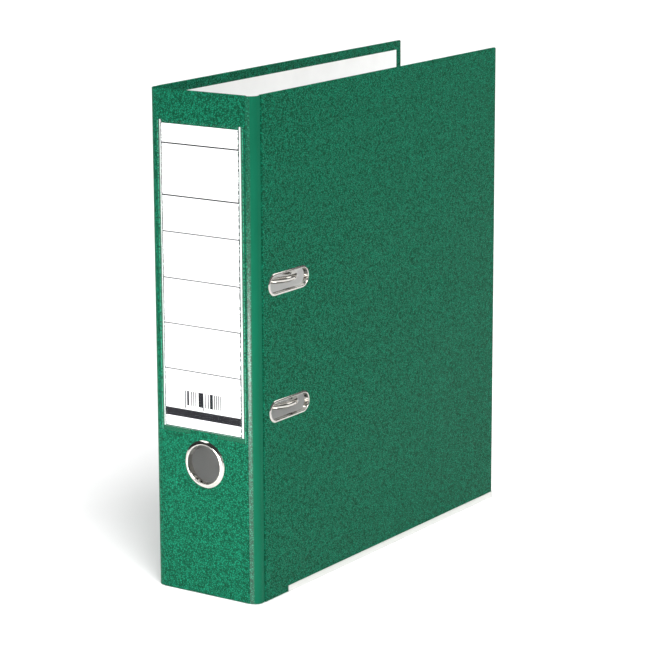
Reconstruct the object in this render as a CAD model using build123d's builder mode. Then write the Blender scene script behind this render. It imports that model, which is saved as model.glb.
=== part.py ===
# Lever arch file: a board case in foil, with a spine label, and a lever arch mechanism inside.
#
# Frame: +Z up along the spine, -X the spine's outer side, -Y the front cover's outer side.
# The origin is at the centre of the footprint, on the surface that the file stands on.
#
# Places on the section are given as (u, v): u runs from the spine's outer face towards the
# fore edge, and v from the rear cover's outer face towards the front cover.

import math
import os

from build123d import *

# ---------------------------------------------------------------- driving dimensions (mm)
height = 318.0
depth = 285.0
width = 80.0

film_t = 0.4
board_t = 1.8
lining_t = 0.3
panel_t = film_t + board_t + lining_t

rail_t = 0.4
rail_leg = 4.1
rail_start = 33.0

fold_radius = 6.0
hinge_end = 8.8
strip_t = 0.6
turn_in = 6.0
hinge_turn_in = 12.0

ring_proud = 1.0
ring_z = 85.0
ring_outer_r = 15.2
ring_bore_r = 12.4
ring_tube_t = 0.8
ring_flange_t = 0.9

pocket_width = 66.0
pocket_bottom = 103.0
pocket_top = 299.0
pocket_weld = 3.0
pocket_gap = 0.75
pocket_sheet_t = 0.25
thumb_gap = 20.0
label_size = (58.0, 190.0, 0.3)
label_bottom = 107.0

mech_z = 160.0
ring_pitch = 80.0
slot_length = 43.5
slot_height = 14.0
slot_rim = 1.3
slot_tube_t = 0.4
slot_u = 36.3

plate_u = 18.0
plate_size = (50.0, 160.0)
plate_corner_r = 5.0
plate_t = 1.2
rivet_inset = (6.0, 8.0)
rivet_r = 2.0
rivet_head_r = 4.0
rivet_foot_r = 3.2
rivet_foot_h = 1.0
rivet_edge_r = 0.6

wire_r = 2.2
axle_uv = (32.0, 6.4)
leg_u = 26.0
post_u = 58.0
post_r = 2.5
post_top = 50.0
post_foot_r = 4.3
post_foot_h = 1.2
tip_chamfer = 0.5
tip_gap = 0.4
hoop_top = 77.6
hoop_corner_r = 15.5
leg_bend_v = 20.0
leg_bend_r = 10.0
axle_bend_r = 4.5
crank_bend_r = 4.0
crank_arm = 12.0
crank_half = 14.0

roller_r = 3.0
roller_length = 10.0
roller_pin_r = 1.1
roller_gap = 0.2
lever_arm = 5.0
roller_angle = 191.3
lever_angle = 145.0
lever_reach = 46.0
lever_t = 1.2
cheek_inner = 6.0
ear_inner = 8.4
ear_t = 1.2
lever_pin_r = 1.8
running_gap = 0.15

saddle_wall = 1.7
saddle_foot = 3.0
saddle_length = 8.0
saddle_spacing = 56.0
ear_r = 3.4
ear_foot = (47.2, 56.0)
ear_lean = 15.0
window = (14.0, 14.4)
window_u = 46.0
window_corner_r = 2.0

lever_web = 3.2
cheek_end = 33.0
cheek_taper = (12.0, -2.6)
fork_hollow = 7.0
thumb_start = 28.0
thumb_width = 22.0
thumb_corner_r = 7.0
thumb_inset = 10.0
hub_r = 3.2
roller_hub_r = 2.4
lever_pin_head = (2.8, 0.5)
roller_pin_head = (1.9, 0.3)

bar_v = 7.0
bar_t = 1.2
bar_u = (57.5, 66.0)
grip_height = 6.0
grip_r = 4.6
grip_collar = (5.8, 1.2)
eye_r = 7.0

# ---------------------------------------------------------------- values that follow
spine_x = -depth / 2 + ring_proud
rear_y = width / 2 - rail_t
case_v = width - 2 * rail_t
fore_u = depth - ring_proud
front_inner_v = case_v - panel_t
spine_mid_v = case_v / 2
plate_v = panel_t
plate_top_v = plate_v + plate_t
hoop_z = [mech_z - ring_pitch / 2, mech_z + ring_pitch / 2]
crank_uv = (axle_uv[0] + crank_arm, axle_uv[1])
roller_uv = (crank_uv[0], crank_uv[1] + wire_r + roller_gap + roller_r)
pivot_uv = (
    roller_uv[0] - lever_arm * math.cos(math.radians(roller_angle)),
    roller_uv[1] - lever_arm * math.sin(math.radians(roller_angle)),
)
names = ["lower", "upper"]

os.makedirs("parts", exist_ok=True)


# ---------------------------------------------------------------- placing helpers
def point(u, v, z):
    """A point of the case in the part's own axes."""
    return (spine_x + u, rear_y - v, z)


def section_plane(z):
    """Sketch in (u, v); its normal points down."""
    return Plane(origin=point(0, 0, z), x_dir=(1, 0, 0), z_dir=(0, 0, -1))


def cover_plane(v):
    """Sketch in (u, z); its normal points from the rear cover to the front one."""
    return Plane(origin=point(0, v, 0), x_dir=(1, 0, 0), z_dir=(0, -1, 0))


def spine_plane(u):
    """Sketch in (v, z); its normal points out of the spine."""
    return Plane(origin=point(u, 0, 0), x_dir=(0, -1, 0), z_dir=(-1, 0, 0))


def save(shape, name):
    """Name a finished piece and write it."""
    shape.label = name
    export_step(shape, f"parts/{name}.step")


# ---------------------------------------------------------------- the two covers
def cover_outline(inset):
    """Corners of a cover, stepped up over the edge rail, inset on every side."""
    step = rail_t + inset
    return [
        (hinge_end + inset, inset),
        (rail_start - inset, inset),
        (rail_start - inset, step),
        (fore_u - inset, step),
        (fore_u - inset, height - inset),
        (hinge_end + inset, height - inset),
    ]


def lining_outline():
    """Corners of the lining sheet, which leaves the foil's turned-in edges showing."""
    low_u = hinge_end + hinge_turn_in
    high_u = fore_u - turn_in
    low_z = turn_in
    high_z = height - turn_in
    return [(low_u, low_z), (high_u, low_z), (high_u, high_z), (low_u, high_z)]


def cover_holes(is_front):
    """Draw the holes through a cover: slots for the hoops, or holes for the plate's rivets."""
    if is_front:
        with Locations(*[(slot_u, z) for z in hoop_z]):
            SlotOverall(slot_length - 2 * slot_rim + 2 * slot_tube_t,
                        slot_height - 2 * slot_rim + 2 * slot_tube_t)
    else:
        with Locations(*rivet_places()):
            Circle(rivet_r)


def rivet_places():
    """Rivet centres in (u, z)."""
    half_u = plate_size[0] / 2 - rivet_inset[0]
    half_z = plate_size[1] / 2 - rivet_inset[1]
    middle = plate_u + plate_size[0] / 2
    return [(middle + i * half_u, mech_z + j * half_z) for i in (-1, 1) for j in (-1, 1)]


def make_cover(side):
    """Build one cover's foil, board and lining."""
    is_front = side == "front"
    outer_v = case_v if is_front else 0.0
    inward = -1 if is_front else 1

    with BuildPart() as board:
        with BuildSketch(cover_plane(outer_v + inward * film_t)):
            Polygon(*cover_outline(film_t), align=None)
        extrude(amount=inward * board_t)
        with BuildSketch(cover_plane(outer_v)):
            cover_holes(is_front)
        extrude(amount=inward * panel_t, mode=Mode.SUBTRACT)
    save(board.part, f"{side}_board")

    with BuildPart() as lining:
        with BuildSketch(cover_plane(outer_v + inward * (film_t + board_t))):
            Polygon(*lining_outline(), align=None)
        extrude(amount=inward * lining_t)
        with BuildSketch(cover_plane(outer_v)):
            cover_holes(is_front)
        extrude(amount=inward * panel_t, mode=Mode.SUBTRACT)
    save(lining.part, f"{side}_lining")

    with BuildPart() as film:
        with BuildSketch(cover_plane(outer_v)):
            Polygon(*cover_outline(0), align=None)
        extrude(amount=inward * panel_t)
        with BuildSketch(cover_plane(outer_v + inward * film_t)):
            Polygon(*cover_outline(film_t), align=None)
        extrude(amount=inward * board_t, mode=Mode.SUBTRACT)
        with BuildSketch(cover_plane(outer_v + inward * (film_t + board_t))):
            Polygon(*lining_outline(), align=None)
        extrude(amount=inward * lining_t, mode=Mode.SUBTRACT)
        with BuildSketch(cover_plane(outer_v)):
            cover_holes(is_front)
        extrude(amount=inward * panel_t, mode=Mode.SUBTRACT)
    save(film.part, f"{side}_film")

    rail_out = -rail_t if not is_front else case_v - panel_t - rail_t
    with BuildPart() as rail:
        with BuildSketch(spine_plane(fore_u)):
            with Locations((rail_out, 0)):
                Rectangle(panel_t + 2 * rail_t, rail_leg, align=(Align.MIN, Align.MIN))
            with Locations((rail_out + rail_t, rail_t)):
                Rectangle(panel_t, rail_leg, align=(Align.MIN, Align.MIN), mode=Mode.SUBTRACT)
        extrude(amount=fore_u - rail_start)
        outer_edges = rail.edges().filter_by(Axis.X).group_by(Axis.Z)[0]
        fillet(outer_edges, rail_t * 0.8)
    save(rail.part, f"{side}_edge_rail")


make_cover("rear")
make_cover("front")

# ---------------------------------------------------------------- slot eyelets of the front cover
for name, z in zip(names, hoop_z):
    bore = (slot_length - 2 * slot_rim, slot_height - 2 * slot_rim)
    tube = (bore[0] + 2 * slot_tube_t, bore[1] + 2 * slot_tube_t)

    with BuildPart() as eyelet:
        with BuildSketch(cover_plane(case_v)):
            with Locations((slot_u, z)):
                SlotOverall(slot_length, slot_height)
        extrude(amount=rail_t)
        fillet(eyelet.faces().sort_by(Axis.Y)[0].edges(), rail_t * 0.6)
        with BuildSketch(cover_plane(case_v)):
            with Locations((slot_u, z)):
                SlotOverall(*tube)
        extrude(amount=-(panel_t + rail_t))
        with BuildSketch(cover_plane(case_v + rail_t)):
            with Locations((slot_u, z)):
                SlotOverall(*bore)
        extrude(amount=-(panel_t + 2 * rail_t), mode=Mode.SUBTRACT)
    save(eyelet.part, f"slot_eyelet_{name}")

    with BuildPart() as backing:
        with BuildSketch(cover_plane(front_inner_v)):
            with Locations((slot_u, z)):
                SlotOverall(slot_length, slot_height)
                SlotOverall(*tube, mode=Mode.SUBTRACT)
        extrude(amount=-rail_t)
    save(backing.part, f"slot_backing_{name}")

# ---------------------------------------------------------------- spine
spine_low = fold_radius
spine_high = case_v - fold_radius
spine_width = spine_high - spine_low

with BuildPart() as spine_board:
    with BuildSketch(spine_plane(film_t)):
        with Locations((spine_mid_v, height / 2)):
            Rectangle(spine_width - 2 * film_t, height - 2 * film_t)
        with Locations((spine_mid_v, ring_z)):
            Circle(ring_bore_r + ring_tube_t, mode=Mode.SUBTRACT)
    extrude(amount=-board_t)
save(spine_board.part, "spine_board")

with BuildPart() as spine_lining:
    with BuildSketch(spine_plane(film_t + board_t)):
        with Locations((spine_mid_v, height / 2)):
            Rectangle(spine_width - 2 * film_t, height - 2 * turn_in)
        with Locations((spine_mid_v, ring_z)):
            Circle(ring_bore_r + ring_tube_t, mode=Mode.SUBTRACT)
    extrude(amount=-lining_t)
save(spine_lining.part, "spine_lining")

with BuildPart() as spine_film:
    with BuildSketch(spine_plane(0)):
        with Locations((spine_mid_v, height / 2)):
            Rectangle(spine_width, height)
    extrude(amount=-panel_t)
    with BuildSketch(spine_plane(film_t)):
        with Locations((spine_mid_v, height / 2)):
            Rectangle(spine_width - 2 * film_t, height - 2 * film_t)
    extrude(amount=-board_t, mode=Mode.SUBTRACT)
    with BuildSketch(spine_plane(film_t + board_t)):
        with Locations((spine_mid_v, height / 2)):
            Rectangle(spine_width - 2 * film_t, height - 2 * turn_in)
    extrude(amount=-lining_t, mode=Mode.SUBTRACT)
    with BuildSketch(spine_plane(0)):
        with Locations((spine_mid_v, ring_z)):
            Circle(ring_bore_r + ring_tube_t)
    extrude(amount=-panel_t, mode=Mode.SUBTRACT)
save(spine_film.part, "spine_film")


# ---------------------------------------------------------------- hinge strips
def hinge_strip(corner_v, side):
    """Bend a welded foil strip round one corner: from the spine's edge to a cover's edge."""
    spine_end = corner_v - side * fold_radius
    inner_r = fold_radius - strip_t
    inner_v = corner_v - side * strip_t
    diagonal = math.sqrt(0.5)
    centre = (fold_radius, spine_end)
    outer_mid = (centre[0] - fold_radius * diagonal, centre[1] + side * fold_radius * diagonal)
    inner_mid = (centre[0] - inner_r * diagonal, centre[1] + side * inner_r * diagonal)
    with BuildPart() as strip:
        with BuildSketch(section_plane(0)):
            with BuildLine():
                ThreePointArc((0, spine_end), outer_mid, (fold_radius, corner_v))
                Polyline((fold_radius, corner_v), (hinge_end, corner_v), (hinge_end, inner_v),
                         (fold_radius, inner_v))
                ThreePointArc((fold_radius, inner_v), inner_mid, (strip_t, spine_end))
                Line((strip_t, spine_end), (0, spine_end))
            make_face()
        extrude(amount=-height)
    return strip.part


save(hinge_strip(case_v, 1), "front_hinge_strip")
save(hinge_strip(0.0, -1), "rear_hinge_strip")

# ---------------------------------------------------------------- label pocket and label
cavity_width = pocket_width - 2 * pocket_weld
cavity_bottom = pocket_bottom + pocket_weld
with BuildPart() as label_pocket:
    with BuildSketch(spine_plane(0)):
        with Locations((spine_mid_v, pocket_bottom)):
            Rectangle(pocket_width, pocket_top - pocket_bottom, align=(Align.CENTER, Align.MIN))
    extrude(amount=pocket_gap + pocket_sheet_t)
    with BuildSketch(spine_plane(0)):
        with Locations((spine_mid_v, cavity_bottom)):
            Rectangle(cavity_width, pocket_top - cavity_bottom, align=(Align.CENTER, Align.MIN))
        with Locations((spine_mid_v, pocket_bottom)):
            Rectangle(thumb_gap, pocket_weld, align=(Align.CENTER, Align.MIN))
    extrude(amount=pocket_gap, mode=Mode.SUBTRACT)
    with BuildSketch(spine_plane(0)):
        with Locations((spine_mid_v, pocket_bottom)):
            Rectangle(thumb_gap, pocket_weld, align=(Align.CENTER, Align.MIN))
    extrude(amount=pocket_gap + pocket_sheet_t, mode=Mode.SUBTRACT)
save(label_pocket.part, "label_pocket")

with BuildPart() as spine_label:
    with BuildSketch(spine_plane(-(pocket_gap - label_size[2]) / 2)):
        with Locations((spine_mid_v, label_bottom)):
            Rectangle(label_size[0], label_size[1], align=(Align.CENTER, Align.MIN))
    extrude(amount=label_size[2])
save(spine_label.part, "spine_label")

# ---------------------------------------------------------------- finger ring
with BuildPart() as finger_ring:
    with BuildSketch(spine_plane(0)):
        with Locations((spine_mid_v, ring_z)):
            Circle(ring_outer_r)
    extrude(amount=ring_flange_t)
    fillet(finger_ring.faces().sort_by(Axis.X)[0].edges(), ring_flange_t * 0.7)
    with BuildSketch(spine_plane(0)):
        with Locations((spine_mid_v, ring_z)):
            Circle(ring_bore_r + ring_tube_t)
    extrude(amount=-(panel_t + ring_flange_t))
    with BuildSketch(spine_plane(-ring_flange_t)):
        with Locations((spine_mid_v, ring_z)):
            Circle(ring_bore_r)
    extrude(amount=-(panel_t + 2 * ring_flange_t), mode=Mode.SUBTRACT)
save(finger_ring.part, "finger_ring")

with BuildPart() as finger_ring_back:
    with BuildSketch(spine_plane(panel_t)):
        with Locations((spine_mid_v, ring_z)):
            Circle(ring_outer_r)
            Circle(ring_bore_r + ring_tube_t, mode=Mode.SUBTRACT)
    extrude(amount=-ring_flange_t)
save(finger_ring_back.part, "finger_ring_back")

# ---------------------------------------------------------------- base plate
saddle_outer_r = wire_r + saddle_wall
saddle_bore_r = wire_r + running_gap
saddle_z = [mech_z - saddle_spacing / 2, mech_z + saddle_spacing / 2]
ear_tangent = math.radians(ear_lean)

with BuildPart() as base_plate:
    with BuildSketch(cover_plane(plate_v)):
        with Locations((plate_u + plate_size[0] / 2, mech_z)):
            RectangleRounded(plate_size[0], plate_size[1], plate_corner_r)
        with Locations(*rivet_places()):
            Circle(rivet_r, mode=Mode.SUBTRACT)
        with Locations((window_u, mech_z)):
            RectangleRounded(window[0], window[1], window_corner_r, mode=Mode.SUBTRACT)
    extrude(amount=plate_t)
    for z in saddle_z:
        with BuildSketch(section_plane(z)):
            with Locations(axle_uv):
                Circle(saddle_outer_r)
            with Locations((axle_uv[0], plate_v)):
                Rectangle(2 * (saddle_outer_r + saddle_foot), plate_t, align=(Align.CENTER, Align.MIN))
            with Locations((axle_uv[0], plate_v)):
                Rectangle(2 * saddle_outer_r, axle_uv[1] - plate_v, align=(Align.CENTER, Align.MIN))
            with Locations((axle_uv[0], 0)):
                Rectangle(plate_size[0], plate_v, align=(Align.CENTER, Align.MIN), mode=Mode.SUBTRACT)
        extrude(amount=saddle_length / 2, both=True)
        with BuildSketch(section_plane(z)):
            with Locations(axle_uv):
                Circle(saddle_bore_r)
        extrude(amount=saddle_length, both=True, mode=Mode.SUBTRACT)
    for side in (-1, 1):
        with BuildSketch(section_plane(mech_z + side * (ear_inner + ear_t / 2))):
            with Locations(pivot_uv):
                Circle(ear_r)
            with BuildLine():
                Polyline(
                    (ear_foot[0], plate_v),
                    (ear_foot[1], plate_v),
                    (pivot_uv[0] + ear_r * math.cos(ear_tangent),
                     pivot_uv[1] + ear_r * math.sin(ear_tangent)),
                    pivot_uv,
                    (ear_foot[0], pivot_uv[1]),
                    close=True,
                )
            make_face()
            with Locations(pivot_uv):
                Circle(lever_pin_r, mode=Mode.SUBTRACT)
        extrude(amount=ear_t / 2, both=True)
save(base_plate.part, "base_plate")

# ---------------------------------------------------------------- posts
for name, z in zip(names, hoop_z):
    with BuildPart() as post:
        with BuildSketch(cover_plane(plate_top_v)):
            with Locations((post_u, z)):
                Circle(post_r)
        extrude(amount=post_top - plate_top_v)
        chamfer(post.faces().sort_by(Axis.Y)[0].edges(), tip_chamfer)
        with BuildSketch(cover_plane(plate_top_v)):
            with Locations((post_u, z)):
                Circle(post_foot_r)
        extrude(amount=post_foot_h)
    save(post.part, f"fixed_post_{name}")

# ---------------------------------------------------------------- plate rivets
with BuildPart() as plate_rivets:
    with BuildSketch(cover_plane(-rail_t)):
        with Locations(*rivet_places()):
            Circle(rivet_head_r)
    extrude(amount=rail_t)
    with BuildSketch(cover_plane(0)):
        with Locations(*rivet_places()):
            Circle(rivet_r)
    extrude(amount=plate_top_v)
    with BuildSketch(cover_plane(plate_top_v)):
        with Locations(*rivet_places()):
            Circle(rivet_foot_r)
    extrude(amount=rivet_foot_h)
    fillet(plate_rivets.faces().group_by(Axis.Y)[0].edges(), rivet_edge_r)
save(plate_rivets.part, "plate_rivets")

# ---------------------------------------------------------------- arch wire
hoop_line_v = hoop_top - wire_r
tip_v = post_top + tip_gap


def hoop_points(z):
    """Corner points of one hoop, from its tip down to the axle."""
    return [
        point(post_u, tip_v, z),
        point(post_u, hoop_line_v, z),
        point(leg_u, hoop_line_v, z),
        point(leg_u, leg_bend_v, z),
        point(*axle_uv, z),
    ]


crank_points = [
    point(*axle_uv, mech_z - crank_half),
    point(*crank_uv, mech_z - crank_half),
    point(*crank_uv, mech_z + crank_half),
    point(*axle_uv, mech_z + crank_half),
]
wire_points = hoop_points(hoop_z[0]) + crank_points + hoop_points(hoop_z[1])[::-1]
hoop_radii = [hoop_corner_r, hoop_corner_r, leg_bend_r, axle_bend_r]
wire_radii = hoop_radii + [crank_bend_r] * len(crank_points) + hoop_radii[::-1]

with BuildPart() as arch_wire:
    with BuildLine() as wire_path:
        FilletPolyline(*wire_points, radius=wire_radii)
    with BuildSketch(Plane(origin=wire_points[0], z_dir=(0, -1, 0))):
        Circle(wire_r)
    sweep()
    tips = arch_wire.faces().filter_by(Axis.Y).filter_by(GeomType.PLANE)
    chamfer(tips.edges(), tip_chamfer)
wire_length = sum(edge.length for edge in wire_path.edges())
wire_volume = wire_length * math.pi * wire_r ** 2
print("wire volume over section times length:", arch_wire.part.volume / wire_volume)
save(arch_wire.part, "arch_wire")

# ---------------------------------------------------------------- lever
lever_dir = (math.cos(math.radians(lever_angle)), -math.sin(math.radians(lever_angle)), 0)


def lever_plane(z):
    """Sketch in the lever's own (s, t): s along the handle, t towards its outer face."""
    return Plane(origin=point(*pivot_uv, z), x_dir=lever_dir, z_dir=(0, 0, 1))


turn = math.radians(roller_angle - lever_angle)
roller_st = (lever_arm * math.cos(turn), -lever_arm * math.sin(turn))
web_inner = lever_web - lever_t
thumb_neck = lever_reach - thumb_inset
clear_of_lever = (-2 * hub_r, -2 * hub_r)
cheek_outer = cheek_inner + lever_t

with BuildPart() as lever:
    with BuildSketch(lever_plane(mech_z)):
        Circle(hub_r)
        with Locations(roller_st):
            Circle(roller_hub_r)
        make_hull()
        with BuildLine():
            Polyline(
                (0, lever_web),
                (thumb_neck, lever_web),
                (thumb_neck, web_inner),
                (cheek_end, web_inner),
                cheek_taper,
                (0, -hub_r),
                close=True,
            )
        make_face()
    extrude(amount=cheek_outer, both=True)
    with BuildSketch(lever_plane(mech_z)):
        with BuildLine():
            Polyline(
                clear_of_lever,
                (clear_of_lever[0], 2 * lever_web),
                (fork_hollow, 2 * lever_web),
                (fork_hollow, web_inner),
                (lever_reach, web_inner),
                (lever_reach, clear_of_lever[1]),
                close=True,
            )
        make_face()
    extrude(amount=cheek_inner, both=True, mode=Mode.SUBTRACT)
    outward = (-lever_dir[1], lever_dir[0], 0)
    with BuildSketch(Plane(origin=point(*pivot_uv, mech_z), x_dir=lever_dir, z_dir=outward).offset(lever_web)):
        with Locations(((thumb_start + lever_reach) / 2, 0)):
            RectangleRounded(lever_reach - thumb_start, thumb_width, thumb_corner_r)
    extrude(amount=-lever_t)
    with BuildSketch(lever_plane(mech_z)):
        Circle(lever_pin_r + running_gap)
        with Locations(roller_st):
            Circle(roller_pin_r)
    extrude(amount=cheek_outer, both=True, mode=Mode.SUBTRACT)
save(lever.part, "lever")

with BuildPart() as lever_pin:
    with BuildSketch(lever_plane(mech_z)):
        Circle(lever_pin_r)
    extrude(amount=ear_inner + ear_t, both=True)
    for side in (-1, 1):
        with BuildSketch(lever_plane(mech_z + side * (ear_inner + ear_t + lever_pin_head[1]))):
            Circle(lever_pin_head[0])
        extrude(amount=lever_pin_head[1], both=True)
save(lever_pin.part, "lever_pin")

with BuildPart() as roller:
    with BuildSketch(lever_plane(mech_z)):
        with Locations(roller_st):
            Circle(roller_r)
            Circle(roller_pin_r + running_gap, mode=Mode.SUBTRACT)
    extrude(amount=roller_length / 2, both=True)
save(roller.part, "roller")

with BuildPart() as roller_pin:
    with BuildSketch(lever_plane(mech_z)):
        with Locations(roller_st):
            Circle(roller_pin_r)
    extrude(amount=cheek_outer, both=True)
    for side in (-1, 1):
        with BuildSketch(lever_plane(mech_z + side * (cheek_outer + roller_pin_head[1]))):
            with Locations(roller_st):
                Circle(roller_pin_head[0])
        extrude(amount=roller_pin_head[1], both=True)
save(roller_pin.part, "roller_pin")

# ---------------------------------------------------------------- compressor bar
bar_mid_u = sum(bar_u) / 2

with BuildPart() as compressor_bar:
    with BuildSketch(cover_plane(bar_v)):
        with Locations((bar_mid_u, mech_z)):
            Rectangle(bar_u[1] - bar_u[0], ring_pitch)
        with Locations(*[(post_u, z) for z in hoop_z]):
            Circle(eye_r)
            Circle(grip_r, mode=Mode.SUBTRACT)
    extrude(amount=bar_t)
save(compressor_bar.part, "compressor_bar")

with BuildPart() as compressor_grips:
    with BuildSketch(cover_plane(bar_v)):
        with Locations(*[(post_u, z) for z in hoop_z]):
            Circle(grip_r)
    extrude(amount=grip_height)
    with BuildSketch(cover_plane(bar_v + bar_t)):
        with Locations(*[(post_u, z) for z in hoop_z]):
            Circle(grip_collar[0])
    extrude(amount=grip_collar[1])
    with BuildSketch(cover_plane(bar_v)):
        with Locations(*[(post_u, z) for z in hoop_z]):
            Circle(post_r + running_gap)
    extrude(amount=grip_height, mode=Mode.SUBTRACT)
save(compressor_grips.part, "compressor_grips")

print("lever pivot", point(*pivot_uv, mech_z))
print("roller axis", point(*roller_uv, mech_z))
print("arch axle", point(*axle_uv, mech_z))
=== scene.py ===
# %% [markdown]
# # A lever arch file, one finish at a time
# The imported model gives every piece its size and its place. This lesson adds what makes the
# file look real: grained foil that folds round the boards, a soft welded hinge, a clear label
# sleeve, plated rings and a printed card. Each step says what the real piece is, and then
# makes it with the tools that a person would use in Blender's own window.

# %% Load the frame
import math

import bmesh
import bpy
from mathutils import Matrix, Vector


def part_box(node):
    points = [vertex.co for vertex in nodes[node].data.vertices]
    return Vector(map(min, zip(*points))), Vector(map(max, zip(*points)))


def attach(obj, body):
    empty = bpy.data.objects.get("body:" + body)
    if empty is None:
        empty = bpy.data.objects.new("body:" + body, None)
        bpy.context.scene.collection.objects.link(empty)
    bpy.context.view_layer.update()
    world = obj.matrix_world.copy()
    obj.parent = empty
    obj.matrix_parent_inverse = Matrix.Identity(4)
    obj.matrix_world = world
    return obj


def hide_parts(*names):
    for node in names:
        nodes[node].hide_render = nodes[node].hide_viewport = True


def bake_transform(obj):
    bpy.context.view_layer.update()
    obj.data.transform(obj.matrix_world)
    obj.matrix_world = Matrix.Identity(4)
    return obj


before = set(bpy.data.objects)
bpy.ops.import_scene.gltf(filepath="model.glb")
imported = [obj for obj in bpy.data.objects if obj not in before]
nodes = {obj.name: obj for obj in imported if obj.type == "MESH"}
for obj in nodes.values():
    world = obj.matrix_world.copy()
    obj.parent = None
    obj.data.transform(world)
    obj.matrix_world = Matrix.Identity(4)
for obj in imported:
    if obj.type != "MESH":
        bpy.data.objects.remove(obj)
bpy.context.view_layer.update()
MM = 0.001
print("pieces in the frame:", len(nodes))

# %% [markdown]
# ## Places that everything else is measured from
# The case is three panels: a rear cover, a spine and a front cover. Their boxes come from the
# frame, so a change in the design moves every piece of this lesson with it.

# %% Boxes of the three panels
front_low, front_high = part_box("front_film")
rear_low, rear_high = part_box("rear_film")
spine_low, spine_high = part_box("spine_film")
sleeve_low, sleeve_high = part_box("label_pocket")
_, card_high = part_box("spine_label")
ring_low, ring_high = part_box("finger_ring")
height = spine_high.z
panel = front_high.y - front_low.y
case_size = (front_high.x - spine_low.x, rear_high.y - front_low.y, height)
print("case", [round(length / MM, 1) for length in case_size])

# %% [markdown]
# ## Shader maths that reads like Python
# A node tree is a formula drawn as boxes. The small class below wraps one socket, so that
# `1 - mask * 0.5` adds the Math nodes for us. Anything that isn't arithmetic comes from one
# method, `node`, which takes a node's type, its settings and the values of its sockets.


# %% The socket class
class Socket:
    """A node's output that can be used in arithmetic."""

    def __init__(self, tree, output):
        self.tree = tree
        self.output = output

    def _math(self, operation, first, second=None):
        node = self.tree.nodes.new("ShaderNodeMath")
        node.operation = operation
        feed(self.tree, node.inputs[0], first)
        if second is not None:
            feed(self.tree, node.inputs[1], second)
        return Socket(self.tree, node.outputs[0])

    def __add__(self, other):
        return self._math("ADD", self, other)

    def __radd__(self, other):
        return self._math("ADD", other, self)

    def __sub__(self, other):
        return self._math("SUBTRACT", self, other)

    def __rsub__(self, other):
        return self._math("SUBTRACT", other, self)

    def __mul__(self, other):
        return self._math("MULTIPLY", self, other)

    def __rmul__(self, other):
        return self._math("MULTIPLY", other, self)

    def __truediv__(self, other):
        return self._math("DIVIDE", self, other)

    def __gt__(self, other):
        return self._math("GREATER_THAN", self, other)

    def __lt__(self, other):
        return self._math("LESS_THAN", self, other)

    def __abs__(self):
        return self._math("ABSOLUTE", self)

    def floor(self):
        return self._math("FLOOR", self)

    def least(self, other):
        return self._math("MINIMUM", self, other)

    def most(self, other):
        return self._math("MAXIMUM", self, other)


def feed(tree, socket, value):
    """Link a wrapped socket to an input, or set the input's own value."""
    if isinstance(value, Socket):
        tree.links.new(value.output, socket)
    elif hasattr(value, "__len__") and socket.type == "RGBA" and len(value) == 3:
        socket.default_value = (*value, 1)
    else:
        socket.default_value = value


# %% The node tree class
class Tree:
    """Short ways to add nodes to the tree of a material or of the world."""

    def __init__(self, tree, coordinate):
        self.tree = tree
        self.place = self.node("ShaderNodeTexCoord", output=coordinate)

    def node(self, kind, settings=None, output=0, **inputs):
        """Add a node: its settings first, then its sockets, by name with _ for a space."""
        node = self.tree.nodes.new(kind)
        for key, value in (settings or {}).items():
            setattr(node, key, value)
        for key, value in inputs.items():
            label = key.replace("_", " ").strip()
            feed(self.tree, node.inputs[int(label[1:]) if label[1:].isdigit() else label], value)
        return Socket(self.tree, node.outputs[output])

    def axes(self, vector=None):
        """The three numbers of a vector, as three sockets."""
        split = self.node("ShaderNodeSeparateXYZ", Vector=vector or self.place)
        return [Socket(self.tree, out) for out in split.output.node.outputs]

    def noise(self, size, detail=2.0, rough=0.5, vector=None, output="Fac"):
        """Soft noise whose blobs are about `size` metres across."""
        return self.node("ShaderNodeTexNoise", output=output, Vector=vector or self.place,
                         Scale=1 / size, Detail=detail, Roughness=rough)

    def ramp(self, value, low, high, to_low=0.0, to_high=1.0):
        """Remap a value smoothly from one range to another."""
        return self.node("ShaderNodeMapRange", {"interpolation_type": "SMOOTHSTEP"}, Value=value,
                         From_Min=low, From_Max=high, To_Min=to_low, To_Max=to_high)

    def mix(self, factor, first, second):
        """Blend two colours."""
        return self.node("ShaderNodeMix", {"data_type": "RGBA"}, output=2,
                         s0=factor, s6=first, s7=second)

    def shift(self, vector, push, amount):
        """Move a coordinate by a colour noise, so that a pattern loses its straight lines."""
        centred = self.node("ShaderNodeVectorMath", {"operation": "SUBTRACT"},
                            s0=push, s1=(0.5, 0.5, 0.5))
        scaled = self.node("ShaderNodeVectorMath", {"operation": "SCALE"}, s0=centred, Scale=amount)
        return self.node("ShaderNodeVectorMath", {"operation": "ADD"}, s0=vector, s1=scaled)


# %% The material class
class Finish(Tree):
    """A material with one Principled shader."""

    def __init__(self, name):
        self.material = bpy.data.materials.new(name)
        self.material.use_nodes = True
        super().__init__(self.material.node_tree, "Object")
        self.shader = self.tree.nodes["Principled BSDF"]

    def bump(self, height_value, distance, strength=1.0):
        """Tilt the surface by a height, given in metres at full scale."""
        normal = self.node("ShaderNodeBump", Height=height_value, Distance=distance, Strength=strength)
        feed(self.tree, self.shader.inputs["Normal"], normal)

    def set(self, **inputs):
        """Set or link the Principled shader's own sockets."""
        for key, value in inputs.items():
            feed(self.tree, self.shader.inputs[key.replace("_", " ")], value)
        return self.material
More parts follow.
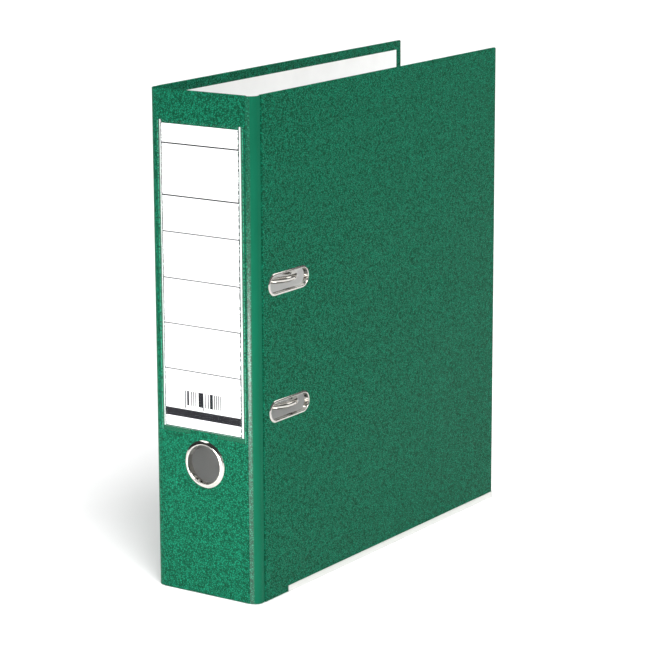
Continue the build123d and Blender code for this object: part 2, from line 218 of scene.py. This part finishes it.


# %% [markdown]
# ## Grained foil
# The height is painted into the colour as well: painted shade darkens the valleys and painted sheen
# lightens the pebble tops.
# The case is covered in a green plastic foil that is rolled with a fine leather grain: small
# pebbles about 1 mm across with narrow valleys between them. A Voronoi texture's distance to
# the nearest edge is high on a pebble and zero in a valley, so it serves as the height. Its
# coordinates are pushed about by noise first, because real pebbles have no straight sides.
# Along the hinges the foil is welded to a second sheet and the grain is pressed nearly flat, so
# a hinge's foil fades from grained to smooth just past the corner of the spine. At the front
# that corner catches hands and light, so the foil is shiny there: a clear coat, masked to it.


# %% Foil finish
PEBBLE = 1.25 * MM
# Valley colour: painted shade. Top colour: painted sheen.
FOIL_VALLEY_SHADE = (0.0010, 0.052, 0.024)
FOIL_TOP_SHEEN = (0.0060, 0.218, 0.118)


def grained_foil(name, smooth_from=None, rubbed=False):
    """Green foil. Past `smooth_from`, a place along X, it is smooth; before it, maybe rubbed."""
    finish = Finish(name)
    drift = finish.noise(1.3 * MM, detail=1.0, output="Color")
    place = finish.shift(finish.place, drift, 1.1 * MM)
    cells = finish.node("ShaderNodeTexVoronoi", {"feature": "DISTANCE_TO_EDGE"}, Vector=place,
                        Scale=1 / PEBBLE)
    pebble = finish.ramp(cells, 0.02, 0.34)
    fine = finish.noise(0.6 * MM, detail=1.0)
    patches = finish.noise(2.0 * MM, detail=2.0)
    handling = finish.noise(70 * MM, detail=3.0)
    relief = pebble * 0.6 + fine * 0.25 + patches * 0.5
    # Painted shade in the valleys and painted sheen on the pebble tops, mixed with random patches of
    # tone.
    grain_shade_sheen_and_tone = finish.ramp(pebble * 0.5 + patches * 0.8, 0.32, 0.95)
    if smooth_from is not None:
        along = finish.axes()[0]
        pressed = finish.ramp(along, smooth_from, smooth_from + 0.6 * MM)
        relief = relief * (1 - pressed * 0.85)
        grain_shade_sheen_and_tone = grain_shade_sheen_and_tone * (1 - pressed) + (handling * 0.3 + 0.22) * pressed
    if rubbed:
        finish.set(Coat_Weight=(1 - pressed) * (0.6 + pebble * 0.4), Coat_Roughness=0.28, Coat_IOR=1.65)
    finish.bump(relief, 0.5 * MM)
    # From the painted-shade valley green to the painted-sheen top green.
    colour = finish.mix(grain_shade_sheen_and_tone, FOIL_VALLEY_SHADE, FOIL_TOP_SHEEN)
    rough = 0.40 + (1 - pebble) * 0.12 + handling * 0.08
    return finish.set(Base_Color=colour, Roughness=rough, Specular_IOR_Level=0.07)


foil = grained_foil("foil_grained")
past_corner = spine_low.x + 0.8 * MM
foil_rear_hinge = grained_foil("foil_rear_hinge", smooth_from=past_corner)
foil_front_hinge = grained_foil("foil_front_hinge", smooth_from=past_corner, rubbed=True)
print("foil nodes:", len(foil.node_tree.nodes), "hinge", len(foil_front_hinge.node_tree.nodes))

# %% [markdown]
# ## Paper, board and card
# The covers are lined with plain white paper, and the boards under the foil are grey. Both
# get fibres: fine noise over soft clouds of tone.


# %% Paper finish
def paper(name, colour, fibre=0.35, rough=0.75):
    finish = Finish(name)
    fibres = finish.noise(fibre * MM, detail=3.0, rough=0.7)
    clouds = finish.noise(14 * MM, detail=2.0)
    finish.bump(fibres, 0.03 * MM)
    darker = tuple(c * 0.955 for c in colour)
    tint = finish.mix(finish.ramp(fibres * 0.5 + clouds * 0.5, 0.35, 0.65), darker, colour)
    return finish.set(Base_Color=tint, Roughness=rough + fibres * 0.1)


lining_paper = paper("paper_lining", (0.90, 0.90, 0.89))
grey_board = paper("grey_board", (0.33, 0.31, 0.28), fibre=0.8, rough=0.85)

# %% [markdown]
# ## Plated and bright metal
# The rings and the mechanism are nickel plated: mirror-like, a little warm, with faint clouds
# in the polish. The edge rails are rolled steel strip, so their scratches run along the edge.
# A tube of noise that is stretched along one axis makes such a brushed look.


# %% Metal finishes
def nickel(name, rough=0.06, tint=(0.66, 0.64, 0.60)):
    finish = Finish(name)
    clouds = finish.noise(2.5 * MM, detail=4.0, rough=0.65)
    pits = finish.noise(0.4 * MM, detail=2.0)
    finish.bump(clouds * 0.7 + pits * 0.3, 0.012 * MM)
    dull = tuple(c * 0.86 for c in tint)
    colour = finish.mix(finish.ramp(clouds, 0.35, 0.7), dull, tint)
    return finish.set(Base_Color=colour, Metallic=1.0, Roughness=rough + clouds * 0.08)


def rolled_steel(name, stretch=(0.02, 1.0, 1.0)):
    finish = Finish(name)
    stretched = finish.node("ShaderNodeMapping", Vector=finish.place, Scale=stretch)
    lines = finish.noise(0.25 * MM, detail=2.0, vector=stretched)
    clouds = finish.noise(9 * MM, detail=2.0)
    finish.bump(lines, 0.015 * MM)
    colour = finish.mix(lines, (0.62, 0.62, 0.60), (0.86, 0.86, 0.84))
    return finish.set(Base_Color=colour, Metallic=1.0, Roughness=0.22 + lines * 0.14 + clouds * 0.05)


plated = nickel("nickel_plated")
plated_wire = nickel("nickel_wire", rough=0.04)
plated_sheet = nickel("nickel_pressed_sheet", rough=0.18, tint=(0.62, 0.61, 0.59))
turned_steel = rolled_steel("steel_turned", stretch=(1.0, 1.0, 0.05))
rail_steel = rolled_steel("steel_rail")


# %% Moulded plastic
def moulded_plastic(name, colour):
    finish = Finish(name)
    spark = finish.noise(0.3 * MM, detail=2.0)
    flow = finish.noise(6 * MM, detail=2.0)
    finish.bump(spark, 0.03 * MM)
    tint = finish.mix(flow, tuple(c * 0.8 for c in colour), colour)
    return finish.set(Base_Color=tint, Roughness=0.42 + spark * 0.15)


grip_plastic = moulded_plastic("grip_black", (0.028, 0.028, 0.030))

# %% [markdown]
# ## The printed card
# The card has writing fields between thin rules, a strip of bars, and a dark band at its foot.
# Everything is a mask: a rule is where the distance to its height is less than half its width.
# The bars are narrow columns, each switched on or off by white noise, and every other column
# is on more often. The bars at both ends and in the middle are a little longer. All of these
# numbers are millimetres, counted down from the card's top edge and in from its left one.

# %% Card print
RULES = ((12.0, 0.95, 0.02), (44.3, 0.95, 0.02), (67.0, 0.9, 0.12),
         (96.0, 0.9, 0.12), (124.6, 0.9, 0.12), (153.5, 0.9, 0.12))
INK = (0.007, 0.007, 0.010)
BARS = 36
BARS_FROM = 15.0
BAR_STEP = 0.8


def printed_card(name):
    finish = Finish(name)
    _, across, up = finish.axes()
    down = (card_high.z - up) / MM
    side = (card_high.y - across) / MM
    fibres = finish.noise(0.4 * MM, detail=3.0)
    colour = finish.mix(fibres, (0.86, 0.86, 0.86), (0.95, 0.95, 0.95))
    for place, thickness, grey in RULES:
        line = abs(down - place) < thickness / 2
        colour = finish.mix(line, colour, (grey, grey, grey * 1.02))

    module = (side - BARS_FROM) / BAR_STEP
    column = module.floor()
    odd = column - (column / 2).floor() * 2
    chance = finish.node("ShaderNodeTexWhiteNoise", {"noise_dimensions": "1D"}, W=column)
    switch = chance > 0.12 + odd * 0.5
    middle_out = abs(module - BARS / 2)
    guard = abs(middle_out - BARS / 4) > BARS / 4 - 1
    longer = abs(down - 171.9) < 5.7
    shorter = abs(down - 171.0) < 4.7
    bars = (middle_out < BARS / 2) * switch * shorter.most(longer * guard)
    colour = finish.mix(bars, colour, INK)

    band = abs(down - 181.0) < 2.6
    colour = finish.mix(band, colour, INK)
    finish.bump(fibres, 0.012 * MM)
    return finish.set(Base_Color=colour, Roughness=0.55 + fibres * 0.1, Specular_IOR_Level=0.08)


card_print = printed_card("card_print")
print("card nodes:", len(card_print.node_tree.nodes))

# %% [markdown]
# ## Clear sleeve film
# The sleeve is a soft clear film. It is almost invisible over the card, and shows by its
# gloss and by faint ripples. Round the card it is welded to the case, so the grain under it
# is flattened and looks darker and wetter: there the film is given the foil's own colour.
# Along the inner edge of the side welds, a whitish half-opaque line on the seam bead is a
# painted glint. The dark mottled band just inside it is a painted reflection of the
# crinkled pleat.


# %% Sleeve finish
WELD = 3.0 * MM
SEAM = 1.1 * MM


def clear_film(name):
    finish = Finish(name)
    _, across, up = finish.axes()
    from_side = (across - sleeve_low.y).least(sleeve_high.y - across)
    from_foot = up - sleeve_low.z
    side_weld = finish.ramp(from_side, WELD - SEAM, WELD - SEAM + 0.3 * MM, 1.0, 0.0)
    foot_weld = finish.ramp(from_foot, WELD, WELD + 0.4 * MM, 1.0, 0.0)
    weld = side_weld.most(foot_weld)
    ripples = finish.noise(7 * MM, detail=3.0)
    crinkle = finish.noise(1.1 * MM, detail=2.0)
    # Seam bead: its crinkle is real relief, and its whitish half-opaque line is a painted glint.
    seam_bead_and_glint = finish.ramp(abs(from_side - WELD), SEAM * 0.3, SEAM * 0.45, 1.0, 0.0) * (1 - weld)
    beyond_seam = abs(from_side - WELD - SEAM * 0.85)
    # Pleat beside the seam: real crinkled relief, with a dark mottle that is a painted reflection.
    pleat_and_dark_reflection = finish.ramp(beyond_seam, SEAM * 0.3, SEAM * 0.5, 1.0, 0.0) * (1 - weld)
    groove = finish.ramp(abs(from_side - 1.0 * MM), 0.15 * MM, 0.45 * MM, 1.0, 0.0)
    stitch = groove * (crinkle > 0.47)
    finish.bump(ripples + crinkle * (seam_bead_and_glint + pleat_and_dark_reflection + weld * 0.5), 0.12 * MM)
    # The whitish film colour shows only where the seam's painted glint is opaque; the weld takes the
    # foil's green.
    colour = finish.mix(weld, (0.93, 0.96, 0.95), (0.004, 0.105, 0.052))
    colour = finish.mix(stitch * weld, colour, (0.05, 0.30, 0.19))
    # Dark pleat colour: painted reflection.
    colour = finish.mix(pleat_and_dark_reflection, colour, (0.05, 0.07, 0.065))
    # Mottled dark patches of the painted reflection on the pleat.
    pleat_reflection_mottle = pleat_and_dark_reflection * finish.ramp(crinkle, 0.38, 0.6)
    # Opacity: the weld, the seam's painted glint and the pleat's painted reflection.
    alpha = 0.005 + (weld * 0.85).most(seam_bead_and_glint * 0.65).most(pleat_reflection_mottle * 0.85)
    return finish.set(Base_Color=colour, Roughness=0.10 + weld * 0.15, Alpha=alpha,
                      Specular_IOR_Level=0.15)


sleeve_film = clear_film("sleeve_clear")

# %% [markdown]
# ## Small helpers for modelling
# These do what the mouse does in the window: start a piece from a primitive, go in and out of
# edit mode, pick vertices by their place, and apply a modifier. Everything is deselected
# first, because an operator acts on all that is selected.


# %% Modelling helpers
def begin(name):
    """Name the primitive that was just added, and give its mesh the same name."""
    piece = bpy.context.object
    piece.name = name
    piece.data.name = name
    return piece


def only(piece):
    """Make one object the only selected one."""
    bpy.ops.object.select_all(action="DESELECT")
    piece.select_set(True)
    bpy.context.view_layer.objects.active = piece


def pick(piece, test, kind="VERT"):
    """In edit mode, select just the vertices, edges or faces that pass a test."""
    bpy.ops.mesh.select_mode(type=kind)
    bpy.ops.mesh.select_all(action="DESELECT")
    mesh = bmesh.from_edit_mesh(piece.data)
    parts = {"VERT": mesh.verts, "EDGE": mesh.edges, "FACE": mesh.faces}[kind]
    for part in parts:
        part.select = test(part)
    mesh.select_flush_mode()
    bmesh.update_edit_mesh(piece.data)


def modify(piece, kind, **settings):
    """Add a modifier and apply it at once."""
    only(piece)
    modifier = piece.modifiers.new(kind.title(), kind)
    for key, value in settings.items():
        setattr(modifier, key, value)
    bpy.ops.object.modifier_apply(modifier=modifier.name)


def finish_piece(piece, body, material, slot, *stands_for, smooth=35):
    """Shade a piece, give it its material, and tie it to its body in the frame."""
    only(piece)
    bpy.ops.object.transform_apply(location=True, rotation=True, scale=True)
    bpy.ops.object.shade_smooth_by_angle(angle=math.radians(smooth))
    piece.data.materials.clear()
    piece.data.materials.append(material)
    if stands_for:
        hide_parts(*stands_for)
    if body:
        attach(piece, body)


def block(name, low, high):
    """A box from its lowest to its highest corner."""
    bpy.ops.object.select_all(action="DESELECT")
    bpy.ops.mesh.primitive_cube_add(size=1, location=(low + high) / 2, scale=high - low)
    piece = begin(name)
    bpy.ops.object.transform_apply(location=True, rotation=True, scale=True)
    return piece


# %% [markdown]
# ## Foil round a board
# A cover's foil lies on the outer face, turns over the edges with a small radius, and ends a
# few millimetres in on the inner face, where the lining begins. So the piece starts as a
# block. Its inner face is inset by the turn-in and deleted, the corners are bevelled, and the
# shell that is left gets the foil's thickness. Beside a hinge the turn-in is wider, and the
# spine has one only at its top and foot. Holes are cut last, by Boolean modifiers.

# %% Foil panels
FOIL_T = 0.3 * MM
TURN_IN = 6.0 * MM
HINGE_EXTRA = 6.0 * MM
EDGE_R = 0.8 * MM
BARE_SIDE = 0.9 * MM
RAIL_LIFT = 0.42 * MM
RING_HOLE = 13.4 * MM


def cut(piece, cutter):
    """Cut a hole with another object, which is then thrown away."""
    modify(piece, "BOOLEAN", object=cutter, operation="DIFFERENCE", solver="EXACT")
    bpy.data.objects.remove(cutter)


def pull_apart(piece, middle_x, reach):
    """Move the two halves of a round piece apart along X."""
    bpy.ops.object.mode_set(mode="EDIT")
    for side in (-1, 1):
        pick(piece, lambda vert: (vert.co.x - middle_x) * side > 0)
        bpy.ops.transform.translate(value=(side * reach, 0, 0))
    bpy.ops.object.mode_set(mode="OBJECT")


def foil_panel(name, low, high, inner, hinge_extra=0.0, full_width=False):
    """Wrap foil round a board, whose lined side faces `inner`.

    `hinge_extra` widens the turn-in at the hinge. `full_width` leaves it only at top and foot.
    """
    piece = block(name, low, high)
    bpy.ops.object.mode_set(mode="EDIT")
    pick(piece, lambda face: face.normal.dot(inner) > 0.9, "FACE")
    bpy.ops.mesh.inset(thickness=TURN_IN)
    bpy.ops.mesh.delete(type="FACE")
    if hinge_extra:
        near_hinge = low.x + TURN_IN * 1.1
        on_rim = low.x + TURN_IN * 0.9
        pick(piece, lambda vert: on_rim < vert.co.x < near_hinge)
        bpy.ops.transform.translate(value=(hinge_extra, 0, 0))
    if full_width:
        for side, edge in ((-1, low.y), (1, high.y)):
            pick(piece, lambda vert: abs(vert.co.y - edge) < TURN_IN * 1.1
                 and low.z + MM < vert.co.z < high.z - MM)
            bpy.ops.transform.translate(value=(0, side * (TURN_IN - BARE_SIDE), 0))
    bpy.ops.object.mode_set(mode="OBJECT")
    modify(piece, "BEVEL", width=EDGE_R, segments=3, limit_method="ANGLE", angle_limit=math.radians(60))
    modify(piece, "SOLIDIFY", thickness=FOIL_T, offset=-1)
    return piece


def raise_over_rail(piece, rail):
    """Lift the foil's lower edge where the steel rail runs under it."""
    rail_low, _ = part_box(rail)
    bpy.ops.object.mode_set(mode="EDIT")
    for step in (0.0, 0.1 * MM):
        bpy.ops.mesh.select_all(action="SELECT")
        bpy.ops.mesh.bisect(plane_co=(rail_low.x - step, 0, 0), plane_no=(1, 0, 0))
    pick(piece, lambda vert: vert.co.z < MM and vert.co.x > rail_low.x - 0.05 * MM)
    bpy.ops.transform.translate(value=(0, 0, RAIL_LIFT))
    bpy.ops.object.mode_set(mode="OBJECT")


def stadium(name, node, grow, depth):
    """A slot-shaped cutter round a CAD node, for the hoops' openings."""
    low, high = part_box(node)
    centre = (low + high) / 2
    radius = (high.z - low.z) / 2 + grow
    reach = (high.x - low.x) / 2 + grow - radius
    bpy.ops.object.select_all(action="DESELECT")
    bpy.ops.mesh.primitive_cylinder_add(vertices=48, radius=radius, depth=depth, location=centre,
                                        rotation=(math.pi / 2, math.pi / 48, 0))
    piece = begin(name)
    bpy.ops.object.transform_apply(location=True, rotation=True, scale=True)
    pull_apart(piece, centre.x, reach)
    return piece


front_foil = foil_panel("front_foil", front_low, front_high, Vector((0, 1, 0)), hinge_extra=HINGE_EXTRA)
raise_over_rail(front_foil, "front_edge_rail")
for level in ("lower", "upper"):
    cut(front_foil, stadium("cutter", f"slot_eyelet_{level}", -0.9 * MM, 8 * MM))
finish_piece(front_foil, "front_cover", foil, "foil", "front_film")

rear_foil = foil_panel("rear_foil", rear_low, rear_high, Vector((0, -1, 0)), hinge_extra=HINGE_EXTRA)
raise_over_rail(rear_foil, "rear_edge_rail")
finish_piece(rear_foil, "rear_cover", foil, "foil", "rear_film")

spine_foil = foil_panel("spine_foil", spine_low, spine_high, Vector((1, 0, 0)), full_width=True)
bpy.ops.object.select_all(action="DESELECT")
ring_centre = (ring_low + ring_high) / 2
bpy.ops.mesh.primitive_cylinder_add(vertices=96, radius=RING_HOLE, depth=12 * MM, location=ring_centre,
                                    rotation=(0, math.pi / 2, 0))
finger_cutter = begin("cutter")
cut(spine_foil, finger_cutter)
finish_piece(spine_foil, "spine", foil, "foil", "spine_film")
print("foil faces:", [len(p.data.polygons) for p in (front_foil, rear_foil, spine_foil)])

# %% [markdown]
# ## The welded hinges
# Between two boards the outer and inner foils are welded together and nothing stiffens them,
# so that strip is the hinge. It leaves the spine's board in a small step, rounds the corner,
# and dips under the cover's edge, which shows as a dark line. The strip grows from one edge:
# extrude for the straight runs, spin for the corner.

# %% Hinge strips
STEP_DOWN = 0.4 * MM
CORNER_R = 5.6 * MM
GROOVE = 0.5 * MM
UNDER_SPINE = 1.2 * MM
UNDER_COVER = 1.6 * MM
HINGE_T = 0.5 * MM


def push(along, across):
    """Extrude the selected edge by a step in plan."""
    bpy.ops.mesh.extrude_region_move(TRANSFORM_OT_translate={"value": (along, across, 0)})


def hinge_strip(name, side, stands_for, finish):
    """Model the strip at one corner: side is -1 at the front cover and 1 at the rear one."""
    spine_edge = spine_low.y if side < 0 else spine_high.y
    cover_face = front_low.y if side < 0 else rear_high.y
    first_y = spine_edge - side * UNDER_SPINE
    bend_y = cover_face - side * (STEP_DOWN + CORNER_R)
    plane_x = spine_low.x + STEP_DOWN
    bpy.ops.object.select_all(action="DESELECT")
    bpy.ops.mesh.primitive_plane_add(size=1, location=(plane_x, (first_y + bend_y) / 2, height / 2),
                                     rotation=(0, -math.pi / 2, 0))
    piece = begin(name)
    piece.scale = (height - 0.4 * MM, abs(bend_y - first_y), 1)
    bpy.ops.object.transform_apply(location=True, rotation=True, scale=True)

    bpy.ops.object.mode_set(mode="EDIT")
    pick(piece, lambda vert: (vert.co.y - first_y) * side > 0.1 * MM)
    bpy.ops.mesh.spin(steps=12, angle=-side * math.pi / 2,
                      center=(plane_x + CORNER_R, bend_y, 0), axis=(0, 0, -1))
    groove_x = front_low.x - 0.5 * MM
    push(groove_x - plane_x - CORNER_R - GROOVE, 0)
    push(GROOVE, -side * GROOVE)
    push(UNDER_COVER, 0)
    bpy.ops.mesh.select_all(action="SELECT")
    bpy.ops.mesh.remove_doubles(threshold=0.01 * MM)
    bpy.ops.object.mode_set(mode="OBJECT")
    far = max(vert.co.x for vert in piece.data.vertices)
    print(name, "reaches", round((far - spine_low.x) / MM, 1), "mm past the spine's face")

    outward = sum(face.normal.x * face.area for face in piece.data.polygons) < 0
    modify(piece, "SOLIDIFY", thickness=HINGE_T, offset=-1 if outward else 1)
    modify(piece, "BEVEL", width=0.15 * MM, segments=2, limit_method="ANGLE",
           angle_limit=math.radians(60))
    finish_piece(piece, None, finish, "foil", stands_for)
    if side < 0:
        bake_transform(piece)
    else:
        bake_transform(piece)


hinge_strip("front_hinge_foil", -1, "front_hinge_strip", foil_front_hinge)
hinge_strip("rear_hinge_foil", 1, "rear_hinge_strip", foil_rear_hinge)

# %% [markdown]
# ## Label sleeve
# The sleeve starts as a fine grid. Its rim stays on the spine where it is welded, and the
# middle rises to clear the card, a little more than needed, with shallow ripples as soft
# film has. A notch at the foot lets a thumb push the card up.

# %% Sleeve
FILM_T = 0.18 * MM
FILM_RISE = 0.62 * MM
THUMB_NOTCH = 20 * MM


def sleeve_height(across, up):
    """How far the film stands off the spine at one place."""
    edge = min(across - sleeve_low.y, sleeve_high.y - across, up - sleeve_low.z)
    rise = min(max((edge - WELD) / (1.2 * MM), 0), 1)
    smooth = rise * rise * (3 - 2 * rise)
    ripple = math.sin(up / (9 * MM) + 2 * math.sin(across / (11 * MM))) * 0.03 * MM
    return 0.2 * MM + smooth * (FILM_RISE + ripple)


sleeve_mid = (sleeve_low.y + sleeve_high.y) / 2
bpy.ops.object.select_all(action="DESELECT")
bpy.ops.mesh.primitive_grid_add(x_subdivisions=140, y_subdivisions=70, size=1,
                                location=(0, sleeve_mid, (sleeve_low.z + sleeve_high.z) / 2),
                                rotation=(0, -math.pi / 2, 0))
sleeve = begin("label_sleeve")
sleeve.scale = (sleeve_high.z - sleeve_low.z, sleeve_high.y - sleeve_low.y, 1)
bpy.ops.object.transform_apply(location=True, rotation=True, scale=True)
for vert in sleeve.data.vertices:
    vert.co.x = spine_low.x - sleeve_height(vert.co.y, vert.co.z)
bpy.ops.object.mode_set(mode="EDIT")
pick(sleeve, lambda face: abs(face.calc_center_median().y - sleeve_mid) < THUMB_NOTCH / 2
     and face.calc_center_median().z < sleeve_low.z + WELD, "FACE")
bpy.ops.mesh.delete(type="FACE")
bpy.ops.object.mode_set(mode="OBJECT")
modify(sleeve, "SOLIDIFY", thickness=FILM_T, offset=-1)
finish_piece(sleeve, "spine", sleeve_film, "pocket_film", "label_pocket", smooth=60)

# %% [markdown]
# ## Finger ring
# The ring in the spine is drawn from sheet: a broad rounded flange outside that curls into a
# short tube. Its section is a rounded crown and two straight walls. Spinning that section
# once round the axis makes the ring, just as the press and the lathe do.


# %% Spun pieces
def spin_section(name, section, centre, axis, steps=96):
    """Spin a closed section of (radius, height) points round an axis through a centre."""
    bpy.ops.object.select_all(action="DESELECT")
    bpy.ops.mesh.primitive_circle_add(vertices=len(section), radius=1 * MM, location=centre)
    piece = begin(name)
    bpy.ops.object.transform_apply(location=True, rotation=True, scale=True)
    start = Matrix.Rotation(math.pi / steps, 3, axis) @ Vector((0, 0, 1))
    for vert, (radius, rise) in zip(piece.data.vertices, section):
        vert.co = centre + start * radius + axis * rise
    bpy.ops.object.mode_set(mode="EDIT")
    bpy.ops.mesh.select_all(action="SELECT")
    bpy.ops.mesh.spin(steps=steps, angle=2 * math.pi, center=centre, axis=axis)
    bpy.ops.mesh.select_all(action="SELECT")
    bpy.ops.mesh.remove_doubles(threshold=0.005 * MM)
    bpy.ops.mesh.normals_make_consistent(inside=False)
    bpy.ops.object.mode_set(mode="OBJECT")
    return piece


def rolled_section(outer, bore, crown, wall, depth):
    """A rim's section: it rises slowly to a crown near the bore, drops, and runs on as a tube."""
    peak_r = bore + (outer - bore) * 0.2
    points = []
    for step in range(9):
        part = 1 - step / 9
        points.append((peak_r + (outer - peak_r) * part, crown * (1 - part ** 1.7)))
    for step in range(6):
        angle = math.radians(90 + step * 18)
        points.append((peak_r + (peak_r - bore) * math.cos(angle), crown * math.sin(angle)))
    points += [(bore, -depth), (bore + wall, -depth), (bore + wall, -0.1 * MM)]
    return points + [(outer, -0.1 * MM)]


# %% Ring
RING_R = (ring_high.z - ring_low.z) / 2
BORE_R = RING_R - 3.0 * MM
RING_RISE = 1.15 * MM
OUT_OF_SPINE = Vector((-1, 0, 0))
ring_seat = Vector((spine_low.x, ring_centre.y, ring_centre.z))
ring_section = rolled_section(RING_R, BORE_R, RING_RISE, 0.4 * MM, depth=3.3 * MM)
ring = spin_section("finger_ring_flange", ring_section, ring_seat, OUT_OF_SPINE)
finish_piece(ring, "spine", plated, "nickel", "finger_ring", smooth=50)
print("ring", round(RING_R / MM, 1), "bore", round(BORE_R / MM, 1))

# %% [markdown]
# ## Slot eyelets
# The two slots that the hoops stand in have the same rolled rim, only drawn out sideways. So
# it starts as a spun ring, and its two halves are then pulled apart by half of the slot's
# straight length. The spin starts half a step off the top, so that no point lies on the
# middle line and both long sides stay straight. The upper rim is a copy of the lower one.


# %% Eyelets
EYELET_RISE = 0.5 * MM
EYELET_W = 1.45 * MM
slot_low, slot_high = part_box("slot_eyelet_lower")
slot_mid = (slot_low + slot_high) / 2
outer = (slot_high.z - slot_low.z) / 2
rim = rolled_section(outer, outer - EYELET_W, EYELET_RISE, 0.3 * MM, depth=panel + 0.4 * MM)
seat = Vector((slot_mid.x, front_low.y, slot_mid.z))
rim_lower = spin_section("slot_rim_lower", rim, seat, Vector((0, -1, 0)), steps=64)
pull_apart(rim_lower, slot_mid.x, (slot_high.x - slot_low.x) / 2 - outer)

only(rim_lower)
bpy.ops.object.duplicate(linked=False)
rim_upper = begin("slot_rim_upper")
upper_low, upper_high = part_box("slot_eyelet_upper")
bpy.ops.transform.translate(value=(upper_low + upper_high) / 2 - slot_mid)
for piece, level in ((rim_lower, "lower"), (rim_upper, "upper")):
    finish_piece(piece, "front_cover", plated, "nickel", f"slot_eyelet_{level}", smooth=50)
print("slot spacing", round((upper_low.z - slot_low.z) / MM, 1))

# %% [markdown]
# ## Finishes for the pieces whose shape is right already
# Boards, linings, rails and the whole lever mechanism keep their own meshes. Each only needs
# a material in its slot.

# %% CAD nodes
FINISHES = {
    grey_board: ("front_board", "rear_board", "spine_board"),
    lining_paper: ("front_lining", "rear_lining", "spine_lining"),
    rail_steel: ("front_edge_rail", "rear_edge_rail"),
    plated: ("finger_ring_back", "slot_backing_lower", "slot_backing_upper", "plate_rivets"),
    plated_wire: ("arch_wire", "fixed_post_lower", "fixed_post_upper", "lever_pin", "roller_pin"),
    plated_sheet: ("base_plate", "lever", "compressor_bar"),
    turned_steel: ("roller",),
    grip_plastic: ("compressor_grips",),
    card_print: ("spine_label",),
}
for material, names in FINISHES.items():
    for node_name in names:
        mesh = nodes[node_name].data
        mesh.materials.clear()
        mesh.materials.append(material)

# %% [markdown]
# ## Studio
# A pale floor lies under a bright ceiling, with a wide soft window light from the front left.
# One soft light stands at each side, a small low one lifts the spine's foot, and one lifts the
# shadow on the floor. The walls are dark, because plated metal looks like metal only when it
# has something dark to reflect.

# %% Floor
bpy.ops.object.select_all(action="DESELECT")
bpy.ops.mesh.primitive_plane_add(size=12, location=(0, 0, -0.2 * MM))
floor = begin("studio_floor")
floor_finish = Finish("floor_white")
speckle = floor_finish.noise(40 * MM, detail=2.0)
floor.data.materials.append(floor_finish.set(
    Base_Color=floor_finish.mix(speckle, (0.90, 0.90, 0.90), (0.93, 0.93, 0.93)), Roughness=0.7))


# %% Lights
def soft_light(name, place, aim, size, energy):
    """A square area light that faces a point."""
    bpy.ops.object.light_add(type="AREA", location=place)
    light = bpy.context.object
    light.name = name
    light.data.shape = "SQUARE"
    light.data.size = size
    light.data.energy = energy
    light.visible_camera = False
    light.rotation_euler = (Vector(aim) - Vector(place)).to_track_quat("-Z", "Y").to_euler()


middle = Vector((0, 0, height / 2))
soft_light("key_left", (-1.9, -0.75, 0.3), middle, 0.9, 1)
soft_light("fill_right", (0.95, -0.95, 1.0), (0.16, 0, 0.22), 0.6, 2.2)
soft_light("low_left", (-0.48, 0.02, 0.04), (-0.14, 0, 0.03), 0.2, 1.5)
soft_light("floor_lift", (-0.50, 0.50, 0.8), (-0.3, 0.3, 0), 0.5, 2.4)

bpy.ops.object.light_add(type="SUN")
window_light = bpy.context.object
window_light.name = "window_light"
window_light.data.angle = math.radians(30)
window_light.data.energy = 3.3
window_light.rotation_euler = Vector((-0.32, -0.52, 0.79)).to_track_quat("Z", "Y").to_euler()


# %% Surround
def studio_surround():
    """A bright ceiling over dark walls, with the front wall a little brighter."""
    world = bpy.data.worlds.new("studio")
    bpy.context.scene.world = world
    world.use_nodes = True
    sky = Tree(world.node_tree, "Generated")
    toward_x, toward_y, up = sky.axes()
    ceiling = sky.ramp(up, 0.86, 0.93)
    front = sky.ramp(toward_x * 0.3 - toward_y * 0.95, -0.2, 0.9)
    wall = 0.05 + front * 0.13
    background = world.node_tree.nodes["Background"]
    feed(sky.tree, background.inputs["Strength"], wall * (1 - ceiling) + ceiling * 2.3)
    background.inputs["Color"].default_value = (1.0, 1.0, 1.0, 1)


studio_surround()
bpy.context.scene.view_settings.view_transform = "Standard"

# %% Camera
AZIMUTH = math.radians(-55.8)
ELEVATION = math.radians(12.91)
ROLL = math.radians(-0.24)
AIM = Vector((0.0, 0.0052, 0.1461))
DISTANCE = 1.762
turn = (Matrix.Rotation(AZIMUTH, 4, "Z") @ Matrix.Rotation(math.pi / 2 - ELEVATION, 4, "X")
        @ Matrix.Rotation(ROLL, 4, "Z"))
back = turn.to_3x3() @ Vector((0, 0, 1))
bpy.ops.object.camera_add()
camera = bpy.context.object
camera.name = "studio_camera"
camera.matrix_world = Matrix.Translation(AIM + back * DISTANCE) @ turn
camera.data.lens = 147.8
camera.data.clip_end = 30
bpy.context.scene.camera = camera
